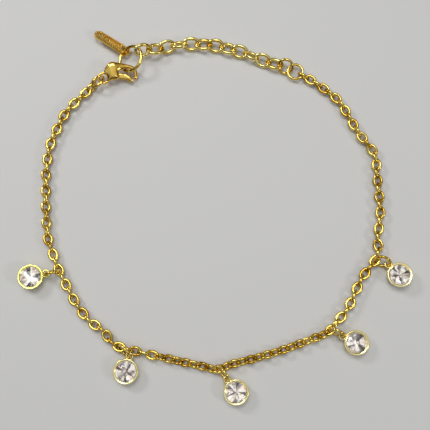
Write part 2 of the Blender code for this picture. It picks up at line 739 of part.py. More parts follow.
low, high = box_corners()
root.location = (-0.5 * (low.x + high.x), -0.5 * (low.y + high.y), -low.z)
bpy.context.view_layer.update()
print("links", len(left.frames), len(right.frames), len(extender.frames), "pitch", left.pitch, extender.pitch)
print("size", high - low)
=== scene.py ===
# %% [markdown]
# # A fine charm bracelet
# A gold-coloured cable chain lies closed on a table, with five small stone charms, an extender,
# a tag and a lobster clasp. The solids of the frame give every piece its place and size. This
# lesson dresses them: rounder wire, faceted stones, a softly cast clasp and polished metal.

import math

import bmesh
import bpy
import numpy as np
from mathutils import Euler, Matrix, Vector, kdtree


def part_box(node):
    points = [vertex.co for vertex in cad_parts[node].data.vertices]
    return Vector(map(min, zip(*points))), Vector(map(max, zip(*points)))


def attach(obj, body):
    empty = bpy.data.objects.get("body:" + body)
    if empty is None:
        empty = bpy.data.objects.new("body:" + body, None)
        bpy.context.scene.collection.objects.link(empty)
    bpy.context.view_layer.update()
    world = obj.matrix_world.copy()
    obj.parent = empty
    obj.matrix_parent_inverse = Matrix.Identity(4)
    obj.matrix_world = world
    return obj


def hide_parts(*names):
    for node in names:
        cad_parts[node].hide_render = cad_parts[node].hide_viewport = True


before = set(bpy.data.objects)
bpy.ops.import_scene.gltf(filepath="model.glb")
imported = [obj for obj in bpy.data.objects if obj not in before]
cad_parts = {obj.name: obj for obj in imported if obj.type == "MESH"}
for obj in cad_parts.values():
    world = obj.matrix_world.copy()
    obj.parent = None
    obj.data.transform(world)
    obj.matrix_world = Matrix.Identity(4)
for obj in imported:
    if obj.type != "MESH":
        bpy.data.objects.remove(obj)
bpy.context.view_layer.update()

# %% [markdown]
# ## Where the layout lies
# The chain's path is listed in millimetres around the middle of the table area. The frame is
# centred on its own box instead, so one known piece, the end ring, tells how far it was moved.

# %% Units and the shift of the layout
MM = 0.001
END_RING_PLACE = (16.6, 29.9, 1.05)
low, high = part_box("end_ring")
SHIFT = 0.5 * (Vector(low) + Vector(high)) - Vector(END_RING_PLACE) * MM
TO_TABLE = Matrix.Translation(SHIFT)
print("layout moved by, in mm", [round(v / MM, 3) for v in SHIFT])

# %% [markdown]
# ## Putting a piece in place
# Each finished piece is one object that rides on a body of the frame, so it moves when that body
# moves. The solids that it stands for are hidden.


# %% Helper: an object in the scene
def placed(name, data):
    item = bpy.data.objects.new(name, data)
    bpy.context.scene.collection.objects.link(item)
    return item


# %% Helper: add a piece that rides on a body
def add_piece(name, mesh, materials, nodes=(), body="bracelet", place=None):
    if place is not None:
        mesh.transform(place)
    face_slots = [face.material_index for face in mesh.polygons]
    mesh.materials.clear()
    for material in materials:
        mesh.materials.append(material)
    mesh.polygons.foreach_set("material_index", face_slots)
    piece = placed(name, mesh)
    bpy.context.view_layer.update()
    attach(piece, body)
    if nodes:
        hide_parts(*nodes)
    return piece


# %% Helper: a mesh from points and faces
def mesh_from(name, points, faces, smooth=True):
    mesh = bpy.data.meshes.new(name)
    mesh.from_pydata([tuple(p) for p in points], [], faces)
    mesh.validate()
    if smooth:
        mesh.shade_smooth()
    return mesh


# %% Helper: turn all faces outwards, and weld points that lie together
def facing_out(mesh, weld=0.0):
    form = bmesh.new()
    form.from_mesh(mesh)
    if weld > 0.0:
        bmesh.ops.remove_doubles(form, verts=form.verts, dist=weld)
    bmesh.ops.recalc_face_normals(form, faces=form.faces)
    form.to_mesh(mesh)
    form.free()
    return mesh


# %% Helper: directions and placements
UP = Vector((0, 0, 1))


def frame_from(origin, x_axis, y_axis):
    x_axis = x_axis.normalized()
    z_axis = x_axis.cross(y_axis).normalized()
    turn = Matrix((x_axis, z_axis.cross(x_axis), z_axis)).transposed()
    return Matrix.Translation(origin) @ turn.to_4x4()


def heading(degrees):
    return Vector((math.cos(math.radians(degrees)), math.sin(math.radians(degrees)), 0.0))


def turned_by(degrees):
    return Euler([math.radians(angle) for angle in degrees]).to_matrix().to_4x4()


# %% [markdown]
# ## Gold plating
# The metal is steel or brass with a thin coat of yellow gold, polished in a barrel. Metal has no
# colour of its own apart from the tint it gives to reflections, so the base colour carries the
# gold. A broad noise mixes two tones. A finer noise makes the polish uneven, and the same noise
# gives the faint ripple that tumbling leaves. The cups are a paler gold than the chain, the first
# cup is a greener one, and the tag is the darkest.


# %% Helper: a finish made of nodes, a blend of two tones and a noise
def new_finish(name, shown):
    material = bpy.data.materials.new(name)
    material.use_nodes = True
    material.diffuse_color = (*shown, 1.0)
    tree = material.node_tree
    return material, tree.nodes["Principled BSDF"], tree.nodes, tree.links


def two_tones(nodes, low, deep_tone, high, tone):
    tones = nodes.new("ShaderNodeValToRGB")
    for row, place, colour in zip(tones.color_ramp.elements, (low, high), (deep_tone, tone)):
        row.position = place
        row.color = (*colour, 1.0)
    return tones


def noise_at(place, nodes, links, scale, detail):
    noise = nodes.new("ShaderNodeTexNoise")
    noise.inputs["Scale"].default_value = scale
    noise.inputs["Detail"].default_value = detail
    links.new(place.outputs["Object"], noise.inputs["Vector"])
    return noise


# %% Material: polished gold
PATCH_SCALE = 420.0
WEAR_SCALE = 1500.0
RIPPLE_DEPTH = 0.02 * MM
EVEN_SHARE, WORN_SHARE = 0.5, 1.6


def polished_gold(name, tone, deep_tone, roughness, ripple):
    material, shader, nodes, links = new_finish(name, tone)
    shader.inputs["Metallic"].default_value = 1.0
    place = nodes.new("ShaderNodeTexCoord")

    patches = noise_at(place, nodes, links, PATCH_SCALE, 3.0)
    tones = two_tones(nodes, 0.35, deep_tone, 0.65, tone)
    links.new(patches.outputs["Fac"], tones.inputs["Fac"])
    links.new(tones.outputs["Color"], shader.inputs["Base Color"])

    wear = noise_at(place, nodes, links, WEAR_SCALE, 4.0)
    polish = nodes.new("ShaderNodeMapRange")
    polish.inputs["To Min"].default_value = EVEN_SHARE * roughness
    polish.inputs["To Max"].default_value = WORN_SHARE * roughness
    links.new(wear.outputs["Fac"], polish.inputs["Value"])
    links.new(polish.outputs["Result"], shader.inputs["Roughness"])

    bump = nodes.new("ShaderNodeBump")
    bump.inputs["Strength"].default_value = ripple
    bump.inputs["Distance"].default_value = RIPPLE_DEPTH
    links.new(wear.outputs["Fac"], bump.inputs["Height"])
    links.new(bump.outputs["Normal"], shader.inputs["Normal"])
    return material


# %% The gold tones
chain_gold = polished_gold("chain_gold", (0.90, 0.68, 0.17), (0.48, 0.27, 0.02), 0.15, 0.6)
ring_gold = polished_gold("ring_gold", (0.91, 0.70, 0.19), (0.64, 0.40, 0.05), 0.14, 0.3)
pale_gold = polished_gold("pale_gold", (0.94, 0.79, 0.30), (0.80, 0.56, 0.12), 0.14, 0.3)
cup_gold = polished_gold("cup_gold", (0.98, 0.88, 0.46), (0.93, 0.77, 0.31), 0.16, 0.15)
lime_gold = polished_gold("lime_gold", (0.93, 0.90, 0.27), (0.86, 0.78, 0.17), 0.16, 0.15)
clasp_gold = polished_gold("clasp_gold", (0.93, 0.66, 0.16), (0.82, 0.46, 0.07), 0.14, 0.25)
tag_gold = polished_gold("tag_gold", (0.86, 0.55, 0.12), (0.70, 0.40, 0.06), 0.17, 0.25)
print("gold tones made")

# %% [markdown]
# ## The path of the chain
# The chain lies on the table in a soft loop with corners where charms pull on it. The path is the
# one the solids follow: chosen points, joined smoothly, with a height that lets each link rest on
# the table for the way it is rolled. A table gives the roll, in degrees, by share of the length.

# %% Path of the chain and of the extender, in millimetres
MAIN_PATH = [
    (-24.2, 27.7), (-26.2, 25.7), (-28.5, 23.4), (-30.6, 20.9), (-32.0, 17.8), (-33.2, 14.8),
    (-33.9, 9.8), (-33.8, 4.9), (-33.5, 0.0), (-32.9, -5.0), (-31.8, -7.8), (-30.9, -10.2),
    (-29.8, -12.3), (-27.6, -16.3), (-25.9, -18.9), (-23.9, -21.1), (-22.4, -22.0), (-21.1, -22.9),
    (-20.4, -24.2), (-19.6, -25.2), (-18.3, -25.8), (-16.8, -26.1), (-15.3, -26.5), (-10.5, -27.6),
    (-4.5, -28.9), (-1.3, -29.6), (0.4, -30.1), (1.7, -29.6), (3.2, -28.9), (4.7, -28.6),
    (7.1, -28.0), (13.0, -26.3), (18.8, -24.2), (20.5, -23.6), (21.7, -23.1), (22.5, -22.2),
    (23.7, -20.8), (25.7, -18.4), (27.1, -15.6), (28.5, -12.8), (29.6, -11.3), (30.8, -9.9),
    (31.7, -8.7), (32.1, -7.3), (32.0, -5.8), (32.3, -3.2), (32.8, -0.2), (32.8, 2.9),
    (32.5, 8.6), (32.5, 11.1), (31.9, 13.1), (30.6, 14.8), (28.8, 17.3), (25.7, 23.2),
    (23.3, 25.5), (20.7, 27.5), (18.2, 29.0), (16.6, 29.9),
]
EXTENDER_PATH = [
    (9.7, 32.3), (8.1, 33.2), (5.4, 34.3), (2.6, 35.0), (0.1, 35.7), (-2.5, 36.0),
    (-5.0, 35.9), (-7.0, 36.0), (-9.7, 35.4), (-12.4, 34.6),
]

# %% How far the links lie rolled, by share of the length
MAIN_ROLL = [
    (0.00, -24), (0.014, -24), (0.018, 2), (0.03, 8), (0.11, 8), (0.13, 28), (0.21, 28), (0.23, 8),
    (0.384, 8), (0.389, -20), (0.394, -20), (0.399, 8), (0.43, 45), (0.62, 45),
    (0.65, 12), (0.73, 12), (0.76, 28), (0.85, 28), (0.88, 8), (1.00, 8),
]
EXTENDER_ROLL = [
    (0.00, 38), (0.14, 38), (0.165, 14), (0.252, 14), (0.28, 38), (0.64, 38), (0.665, 14),
    (0.752, 14), (0.78, 38), (0.94, 38), (0.95, 50), (1.00, 50),
]
EXTENDER_LIFT = [(0.00, 0.0), (0.68, 0.0), (0.80, 0.08), (0.90, 0.30), (1.00, 1.0)]
MAIN_TURNS = (90.0, 0.0)
EXTENDER_TURNS = (-56.0, 0.0)


# %% Helper: read a value between two rows of a table
def lookup(table, share):
    for (left, start), (right, end) in zip(table, table[1:]):
        if share <= right:
            return start + (end - start) * max(0.0, share - left) / (right - left)
    return table[-1][1]


# %% Helper: smooth curve through chosen points
LEAST_SPAN = 0.2
NEARLY_NONE = 0.001


def smooth_points(points, per_span, closed=False):
    count = len(points)
    result = []
    for index in range(count if closed else count - 1):
        around = [index + step for step in (-1, 0, 1, 2)]
        if closed:
            around = [place % count for place in around]
        else:
            around = [min(max(place, 0), count - 1) for place in around]
        before, start, end, after = [Vector(points[place]) for place in around]
        chord = (end - start).length
        lead = math.sqrt(chord / max((start - before).length, LEAST_SPAN * chord))
        trail = math.sqrt(chord / max((after - end).length, LEAST_SPAN * chord))
        slope_in = (end - before) * min(1.0, lead) * 0.5
        slope_out = (after - start) * min(1.0, trail) * 0.5
        slope_in *= min(1.0, chord / max(slope_in.length, NEARLY_NONE * chord))
        slope_out *= min(1.0, chord / max(slope_out.length, NEARLY_NONE * chord))
        for step in range(per_span):
            t = step / per_span
            result.append(
                start * (2 * t**3 - 3 * t**2 + 1)
                + slope_in * (t**3 - 2 * t**2 + t)
                + end * (-2 * t**3 + 3 * t**2)
                + slope_out * (t**3 - t**2)
            )
    if not closed:
        result.append(Vector(points[-1]))
    return result


# %% Helper: a path that knows its length and can be walked link by link
PATH_STEPS = 60
PITCH_SLACK = 0.2
HALVINGS = 40


class ChainPath:
    def __init__(self, flat_points, height_at):
        flat = smooth_points(flat_points, PATH_STEPS)
        self.lengths = [0.0]
        for first, second in zip(flat, flat[1:]):
            self.lengths.append(self.lengths[-1] + (second - first).length)
        self.length = self.lengths[-1]
        self.points = [
            Vector((p.x, p.y, height_at(s / self.length))) for p, s in zip(flat, self.lengths)
        ]

    def at(self, distance):
        for index in range(1, len(self.points)):
            if self.lengths[index] >= distance:
                span = self.lengths[index] - self.lengths[index - 1]
                part = (distance - self.lengths[index - 1]) / span
                return self.points[index - 1].lerp(self.points[index], part)
        return self.points[-1].copy()

    def walk(self, start, pitch, count):
        joint = self.at(start)
        joints = [joint]
        index = next(i for i, s in enumerate(self.lengths) if s > start)
        while len(joints) <= count and index < len(self.points):
            if (self.points[index] - joint).length < pitch:
                index += 1
                continue
            near = (self.points[index - 1] - joint).length
            far = (self.points[index] - joint).length
            part = (pitch - near) / (far - near)
            joint = self.points[index - 1].lerp(self.points[index], part)
            joints.append(joint)
            reach = self.lengths[index - 1] + part * (self.lengths[index] - self.lengths[index - 1])
        if len(joints) <= count:
            return joints, self.length + (count + 1 - len(joints)) * pitch
        return joints, reach

    def joints(self, start, end, pitch):
        count = round((end - start) / pitch)
        low = (1.0 - PITCH_SLACK) * (end - start) / count
        high = (1.0 + PITCH_SLACK) * (end - start) / count
        for _ in range(HALVINGS):
            middle = 0.5 * (low + high)
            if self.walk(start, middle, count)[1] > end:
                high = middle
            else:
                low = middle
        return self.walk(start, low, count)[0], low


# %% [markdown]
# ## Links along the path
# Each link is a placement: it points along the path, and every second link is turned on its side
# so that neighbours hook through each other.


# %% Helper: placements of the links
def lay_links(path, start, end, pitch, roll_table, turns, first=0):
    joints, true_pitch = path.joints(start, end, pitch)
    places = []
    for index, (left, right) in enumerate(zip(joints, joints[1:])):
        along = (right - left).normalized()
        share = (start + (index + 0.5) * (end - start) / (len(joints) - 1)) / path.length
        roll = math.radians(lookup(roll_table, share) + turns[(index + first) % 2])
        side = along.cross(UP).normalized()
        across = side * math.cos(roll) + side.cross(along) * math.sin(roll)
        places.append(frame_from(0.5 * (left + right), along, across))
    return places, true_pitch


def rest_height(width, wire, rolls):
    return max(0.5 * (width - wire) * abs(math.sin(math.radians(r))) for r in rolls) + 0.5 * wire


# %% [markdown]
# ## Sizes of the wire work
# The sizes are those of the solids: link and ring wire under half a millimetre, links two
# millimetres wide, and the wider ovals of the extender.

# %% Wire sizes
CLEARANCE = 0.10 * MM
LINK_BITE = 0.040 * MM
LINK_WIDTH = 2.05 * MM
LINK_WIRE = 0.48 * MM
LINK_PITCH = 1.626 * MM
CHAIN_SPLIT = 0.505
CLASP_LINK_SLACK = 0.16 * MM
EXTENDER_WIDTH = 3.00 * MM
EXTENDER_WIRE = 0.63 * MM
EXTENDER_PITCH = 2.52 * MM
RING_DIAMETER = 3.40 * MM
RING_WIRE = 0.50 * MM
END_RING_DIAMETER = 3.60 * MM
TAG_RING_DIAMETER = 5.90 * MM
TAG_RING_WIRE = 0.58 * MM
ring_radius = 0.5 * (RING_DIAMETER - RING_WIRE)
end_radius = 0.5 * (END_RING_DIAMETER - RING_WIRE)
tag_ring_radius = 0.5 * (TAG_RING_DIAMETER - TAG_RING_WIRE)

# %% [markdown]
# ## Clasp, clasp ring and tag ring in space
# The clasp lies tipped on the table, its eye held up by a leaning ring. The bigger ring sits in
# the hook, and the tag hangs on it.

# %% Placements around the clasp
CLASP_LENGTH = 7.00 * MM
CLASP_WIDTH = 4.60 * MM
CLASP_THICKNESS = 1.70 * MM
CLASP_HEADING = 17.9
CLASP_TURN = (20.0, 4.0, CLASP_HEADING)
CLASP_RING_HEIGHT = 1.30 * MM
CLASP_RING_LEAN = math.radians(33.0)
EYE_SLACK_SHARE = 0.2
EYE_HEIGHT = 1.85 * MM
EYE_HOLE = 1.56 * MM
TAG_RING_RISE = 0.42 * MM
TAG_RING_LEAN = math.radians(-27.0)
HOOK_FLOOR = 0.86793 * CLASP_LENGTH

clasp_ring_at = Vector((MAIN_PATH[0][0] * MM, MAIN_PATH[0][1] * MM, CLASP_RING_HEIGHT))
climb = math.asin((EYE_HEIGHT - CLASP_RING_HEIGHT) / ring_radius)
to_eye = heading(CLASP_HEADING) * math.cos(climb) + Vector((0, 0, math.sin(climb)))
ring_side = heading(CLASP_HEADING + 90) * math.cos(CLASP_RING_LEAN)
ring_side -= Vector((0, 0, math.sin(CLASP_RING_LEAN)))
clasp_ring_place = frame_from(clasp_ring_at, to_eye, ring_side)
eye_slack = 0.5 * (EYE_HOLE - RING_WIRE) - CLEARANCE
eye_at = clasp_ring_at + to_eye * (ring_radius + EYE_SLACK_SHARE * eye_slack)
clasp_place = Matrix.Translation(eye_at) @ turned_by(CLASP_TURN)
seat = clasp_place @ Vector((HOOK_FLOOR - 0.5 * TAG_RING_WIRE - CLEARANCE, 0.0, TAG_RING_RISE))
tag_ring_place = Matrix.Translation(seat) @ Matrix.Rotation(TAG_RING_LEAN, 4, "Y")
tag_ring_place = tag_ring_place @ Matrix.Translation((0, tag_ring_radius, 0))
print("clasp at", [round(v / MM, 2) for v in eye_at])

# %% [markdown]
# ## The main chain
# The chain starts on the clasp's ring and ends on a ring of its own. The solids hold it as two
# runs of links that meet a little past the middle, and the second run goes on turning its links
# where the first one stopped.

# %% Path of the main chain in space
NEAR_LINE = 0.03

main_path = ChainPath(
    [(x * MM, y * MM) for x, y in MAIN_PATH],
    lambda share: rest_height(
        LINK_WIDTH, LINK_WIRE, [lookup(MAIN_ROLL, share) + turn for turn in MAIN_TURNS]
    ),
)


def wire_reach(place, radius, direction):
    around = [place.to_3x3() @ (heading(step) * radius) for step in range(360)]
    return max(p.dot(direction) for p in around if abs(p.cross(direction).z) < NEAR_LINE * radius)


end_gap = 0.5 * RING_WIRE + 1.5 * CLEARANCE + 0.5 * LINK_BITE
leaving = (main_path.at(2.0 * ring_radius) - main_path.points[0]).to_2d().normalized().to_3d()
main_start = wire_reach(clasp_ring_place, ring_radius, leaving) - end_gap - CLASP_LINK_SLACK
main_end = main_path.length - (end_radius - end_gap)
meeting = main_start + CHAIN_SPLIT * (main_end - main_start)
half_gap = 0.5 * (CLEARANCE + LINK_BITE)
left_links, left_pitch = lay_links(
    main_path, main_start, meeting + half_gap, LINK_PITCH, MAIN_ROLL, MAIN_TURNS
)
right_links, right_pitch = lay_links(
    main_path, meeting - half_gap, main_end, LINK_PITCH, MAIN_ROLL, MAIN_TURNS, len(left_links)
)
print("links", len(left_links), len(right_links), "pitch", left_pitch / MM)

# %% [markdown]
# ## The extender's path
# The extender starts on the joining ring, lies along the table and climbs to the clasp's big
# ring at its end.

# %% Joining ring and extender
END_RING_AT = Vector(END_RING_PLACE) * MM
JOIN_RING_LEAN = math.radians(48.0)
JOIN_RING_STEP = 0.755
JOIN_RING_SHIFT = 0.20
TAG_RING_JOINT = 35.0
extender_points = [Vector((x * MM, y * MM)) for x, y in EXTENDER_PATH]
onward = (extender_points[1] - END_RING_AT.to_2d()).normalized().to_3d()
join_height = ring_radius * math.cos(JOIN_RING_LEAN) + 0.5 * RING_WIRE
join_side = onward.cross(UP)
join_at = END_RING_AT + onward * JOIN_RING_STEP * (end_radius + ring_radius)
join_at += join_side * JOIN_RING_SHIFT * ring_radius
join_at.z = join_height
extender_end = tag_ring_place @ (heading(TAG_RING_JOINT) * tag_ring_radius)


def extender_height(share):
    rolls = [lookup(EXTENDER_ROLL, share) + turn for turn in EXTENDER_TURNS]
    rest = rest_height(EXTENDER_WIDTH, EXTENDER_WIRE, rolls)
    return rest + lookup(EXTENDER_LIFT, share) * (extender_end.z - rest)


extender_gap = CLEARANCE + 0.5 * LINK_BITE
start_drop = (join_height - extender_height(0.0)) / math.cos(JOIN_RING_LEAN)
start_reach = math.sqrt(ring_radius**2 - start_drop**2)
start_at = join_at + onward * (start_reach - 0.5 * RING_WIRE - extender_gap)
arriving = (extender_end.to_2d() - extender_points[-1]).normalized()
past_end = extender_end.to_2d() + arriving * (0.5 * TAG_RING_WIRE + 2.0 * extender_gap)
extender_path = ChainPath([start_at.to_2d()] + extender_points + [past_end], extender_height)
extender_links, extender_pitch = lay_links(
    extender_path, 0.0, extender_path.length, EXTENDER_PITCH, EXTENDER_ROLL, EXTENDER_TURNS
)
print("extender links", len(extender_links), "pitch", extender_pitch / MM)

# %% [markdown]
# ## Round wire
# A link is one length of round wire, bent to an oval and soldered shut. A torus would do for a
# ring but not for an oval, so the wire is swept along the oval directly: at every step a circle
# of points stands square to the path. The section is a little squarer than a circle, as rolled
# wire is, so that light catches it in broader streaks. The solids' wire has few flat sides, which
# makes it look thin, so the round wire here is a trifle fuller.


# %% Helper: sweep round wire along points in a plane
def sweep_wire(path, wire, sides, closed, squareness=1.0):
    steps = len(path)
    if closed:
        along = np.roll(path, -1, axis=0) - np.roll(path, 1, axis=0)
    else:
        along = np.gradient(path, axis=0)
    along /= np.linalg.norm(along, axis=1)[:, None]
    outward = np.stack([along[:, 1], -along[:, 0], np.zeros(steps)], axis=1)
    turn = 2.0 * np.pi * (np.arange(sides) + 0.5) / sides
    across = np.sign(np.cos(turn)) * np.abs(np.cos(turn)) ** squareness
    over = np.sign(np.sin(turn)) * np.abs(np.sin(turn)) ** squareness
    ring = across[None, :, None] * outward[:, None, :]
    ring = ring + over[None, :, None] * np.array([0.0, 0.0, 1.0])
    points = (path[:, None, :] + 0.5 * wire * ring).reshape(-1, 3)
    faces = []
    for step in range(steps if closed else steps - 1):
        after = (step + 1) % steps
        for side in range(sides):
            beside = (side + 1) % sides
            this, following = step * sides, after * sides
            faces.append((this + side, this + beside, following + beside, following + side))
    if not closed:
        faces.append(tuple(range(sides))[::-1])
        faces.append(tuple((steps - 1) * sides + side for side in range(sides)))
    return points, faces


# %% Helper: an oval path, and one oval link
LINK_STEPS = 28
LINK_SIDES = 12
WIRE_SQUARENESS = 0.85
LINK_FULLNESS = 0.08 * MM


def oval_path(angle, half_length, half_width):
    x, y = half_length * np.cos(angle), half_width * np.sin(angle)
    return np.stack([x, y, np.zeros(len(angle))], axis=1)


def oval_link(pitch, width, wire):
    angle = 2.0 * np.pi * np.arange(LINK_STEPS) / LINK_STEPS
    wire = wire + LINK_FULLNESS
    path = oval_path(angle, 0.5 * (pitch + wire), 0.5 * (width - wire))
    return sweep_wire(path, wire, LINK_SIDES, True, WIRE_SQUARENESS)


# %% Helper: a run of links as one mesh
def chain_mesh(name, places, link, sway, seed):
    points, faces = link
    points = np.hstack([points, np.ones((len(points), 1))])
    chance = np.random.default_rng(seed)
    all_points, all_faces = [], []
    for number, place in enumerate(places):
        lean = math.radians(sway * chance.uniform(-1.0, 1.0))
        turned = np.array(TO_TABLE @ place @ Matrix.Rotation(lean, 4, "X"))
        all_points.append((points @ turned.T)[:, :3])
        start = number * len(points)
        all_faces += [tuple(start + corner for corner in face) for face in faces]
    return mesh_from(name, np.vstack(all_points), all_faces)


# %% Main chain and extender
LINK_SWAY = 1.5
EXTENDER_SWAY, EXTENDER_SEED = 1.0, 7
# Each row is a side, its links, their pitch and the seed of their sway.
RUNS = [("left", left_links, left_pitch, 3), ("right", right_links, right_pitch, 5)]
for run, places, pitch, seed in RUNS:
    link = oval_link(pitch, LINK_WIDTH, LINK_WIRE)
    mesh = chain_mesh(f"chain_links_{run}", places, link, LINK_SWAY, seed)
    add_piece(f"chain_links_{run}", mesh, [chain_gold], [f"chain_{run}"])
extender_link = oval_link(extender_pitch, EXTENDER_WIDTH, EXTENDER_WIRE)
mesh = chain_mesh(
    "extender_links", extender_links, extender_link, EXTENDER_SWAY, EXTENDER_SEED
)
add_piece("extender_links", mesh, [pale_gold], ["extender_chain"])
print("chains laid")

# %% [markdown]
# ## Jump rings
# A jump ring is cut from a coil of wire and pinched shut, and the cut stays as a fine line. So
# the wire is swept almost all the way round, with a flat end on each side of the cut.


# %% Helper: a ring with its cut
RING_STEPS = 72
RING_SIDES = 16
CUT_WIDTH = 0.035 * MM
RING_FULLNESS = 0.06 * MM
RING_CREASE = math.radians(50.0)


def jump_ring(name, diameter, wire):
    radius = 0.5 * (diameter - wire)
    half_cut = 0.5 * CUT_WIDTH / radius
    angle = np.linspace(half_cut, 2.0 * np.pi - half_cut, RING_STEPS)
    path = oval_path(angle, radius, radius)
    points, faces = sweep_wire(path, wire + RING_FULLNESS, RING_SIDES, False)
    mesh = mesh_from(name, points, faces)
    mesh.set_sharp_from_angle(angle=RING_CREASE)
    return mesh


# %% Helper: where a solid ring lies
def ring_place(node, cut_heading):
    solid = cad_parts[node]
    corners = np.array([solid.matrix_world @ v.co for v in solid.data.vertices])
    middle = 0.5 * (corners.min(axis=0) + corners.max(axis=0))
    spread = np.linalg.svd(corners - corners.mean(axis=0), full_matrices=False)[2]
    normal = Vector(spread[2])
    if normal.z < 0.0:
        normal = -normal
    cut_way = heading(cut_heading)
    cut_way = (cut_way - normal * cut_way.dot(normal)).normalized()
    return frame_from(Vector(middle), cut_way, normal.cross(cut_way))


# %% Rings of the chain ends, clasp and charms
# Each row is a ring, its outer diameter, its wire and the heading of its cut.
RINGS = [
    ("clasp_ring", RING_DIAMETER, RING_WIRE, 110),
    ("end_ring", END_RING_DIAMETER, RING_WIRE, 60),
    ("link_ring", RING_DIAMETER, RING_WIRE, 250),
    ("tag_ring", TAG_RING_DIAMETER, TAG_RING_WIRE, 340),
]
CHARM_RING_CUTS = (285, 50, 30, 60, 70)
for number, cut_heading in enumerate(CHARM_RING_CUTS, 1):
    RINGS.append((f"charm_ring_{number}", RING_DIAMETER, RING_WIRE, cut_heading))
for node, diameter, wire, cut_heading in RINGS:
    mesh = jump_ring(f"{node}_wire", diameter, wire)
    add_piece(f"{node}_wire", mesh, [ring_gold], [node], place=ring_place(node, cut_heading))
print("rings made", len(RINGS))

# %% [markdown]
# ## Cups of the charms
# Each charm is a turned cup with a thin wall. Its rim is pressed over the edge of the stone, and a
# small loop is soldered to its side. A turned shape is one outline spun round an axis.

# %% Cup sizes
BEZEL_DIAMETER = 4.76 * MM
BEZEL_HEIGHT = 1.95 * MM
LOOP_HOLE = 0.90 * MM
LOOP_WIRE = 0.34 * MM
LOOP_HEIGHT = 1.30 * MM
# Each row is a radius and a height in millimetres: the base, the wall, the rim and the seat.
CUP_OUTLINE = [
    (0.00, 0.03), (1.70, 0.03), (1.78, 0.00), (2.04, 0.00), (2.11, 0.03), (2.155, 0.09),
    (2.18, 0.20), (2.355, 1.62), (2.372, 1.76), (2.378, 1.84), (2.365, 1.90), (2.33, 1.938),
    (2.28, 1.95), (2.19, 1.945), (2.08, 1.925), (1.99, 1.89), (1.945, 1.85), (1.93, 1.80),
    (1.93, 1.60), (1.85, 1.20), (0.00, 0.25),
]
CUP_STEPS = 72


# %% Helper: spin an outline
CREASE = math.radians(40.0)


def spin(name, outline, steps, unit=MM):
    points, faces = [], []
    for r, z in outline:
        for step in range(steps if r > 0.0 else 1):
            angle = 2.0 * math.pi * step / steps
            points.append((r * unit * math.cos(angle), r * unit * math.sin(angle), z * unit))
    rows, start = [], 0
    for r, _ in outline:
        size = steps if r > 0.0 else 1
        rows.append([start + step % size for step in range(steps)])
        start += size
    for inner, outer in zip(rows, rows[1:]):
        for step in range(steps):
            after = (step + 1) % steps
            corners = (inner[step], outer[step], outer[after], inner[after])
            faces.append(tuple(dict.fromkeys(corners)))
    mesh = facing_out(mesh_from(name, points, faces))
    mesh.set_sharp_from_angle(angle=CREASE)
    return mesh


# %% Helper: join several meshes in one
def joined(name, pieces):
    form = bmesh.new()
    for mesh, place, slot in pieces:
        old_points, old_faces = len(form.verts), len(form.faces)
        form.from_mesh(mesh)
        form.verts.ensure_lookup_table()
        form.faces.ensure_lookup_table()
        bmesh.ops.transform(form, matrix=place, verts=form.verts[old_points:])
        for face in form.faces[old_faces:]:
            face.material_index = slot
    result = bpy.data.meshes.new(name)
    form.to_mesh(result)
    form.free()
    return result


# %% [markdown]
# ## Stones
# The stones are round brilliants: a flat table with eight corners, a crown of stars, kites and
# small girdle facets, and a pointed pavilion below. Cheap stones carry silver foil behind the
# pavilion, which throws the light back. The facets are true planes, so each catches its own light.
# Every foil facet has one of four tones of painted reflection, and small cells of painted sparkle
# break it up. A painted glow also makes the foil shine a little by itself, in place of the light
# that a real stone gathers from all around.

# %% Stone sizes, as shares of the girdle's radius
GIRDLE_RADIUS = 1.925 * MM
GIRDLE_HEIGHT = 1.80 * MM
CROWN_RISE = 0.55 * MM
PAVILION_DEPTH = 1.42 * MM
GIRDLE_EDGE = 0.05 * MM
TABLE_SHARE = 0.56
STAR_SHARE = 0.80
LOWER_SHARE = 0.26
HALF_TURN = math.cos(math.pi / 8)


# %% Helper: facets of a round brilliant
def brilliant(name, radius, depth, edge, rise):
    def ring(share, height, offset, count):
        angles = [2.0 * math.pi * (step + offset) / count for step in range(count)]
        reach = share * radius
        return [(reach * math.cos(a), reach * math.sin(a), height) for a in angles]

    star_height = rise * (1.0 - STAR_SHARE * HALF_TURN) / (1.0 - TABLE_SHARE)
    lower_height = -depth * (1.0 - LOWER_SHARE * HALF_TURN)
    points = ring(TABLE_SHARE, rise, 0, 8) + ring(STAR_SHARE, star_height, 0.5, 8)
    points += ring(1.0, 0.0, 0, 16) + ring(1.0, -edge, 0, 16)
    points += ring(LOWER_SHARE, lower_height - edge, 0.5, 8) + [(0.0, 0.0, -depth - edge)]
    table, star, girdle, under, lower, point = 0, 8, 16, 32, 48, 56
    faces = [tuple(table + k for k in range(8))]
    for k in range(8):
        after, before = (k + 1) % 8, (k - 1) % 8
        g, h, g_after = girdle + 2 * k, girdle + 2 * k + 1, girdle + 2 * after
        faces.append((table + k, star + k, table + after))
        faces.append((table + k, star + before, g, star + k))
        faces.append((star + k, g, h))
        faces.append((star + k, h, g_after))
        u, v, u_after = under + 2 * k, under + 2 * k + 1, under + 2 * after
        faces.append((g, u, v, h))
        faces.append((h, v, u_after, g_after))
        faces.append((u, lower + k, v))
        faces.append((v, lower + k, u_after))
        faces.append((u, lower + before, point, lower + k))
    return facing_out(mesh_from(name, points, faces, smooth=False))


# %% Helper: the foiled seat under a stone
FOIL_GAP = -0.03 * MM
SEAT_DEPTH = 1.53 * MM
# Each entry is a facet's tone of painted reflection: 0 white, 1 grey, 2 rose, 3 dark.
FOIL_PAINTED_REFLECTIONS = [0, 3, 0, 2, 0, 1, 0, 0, 3, 1, 0, 2, 0, 0, 1, 3, 0, 0, 2, 1, 0, 3, 0, 1]


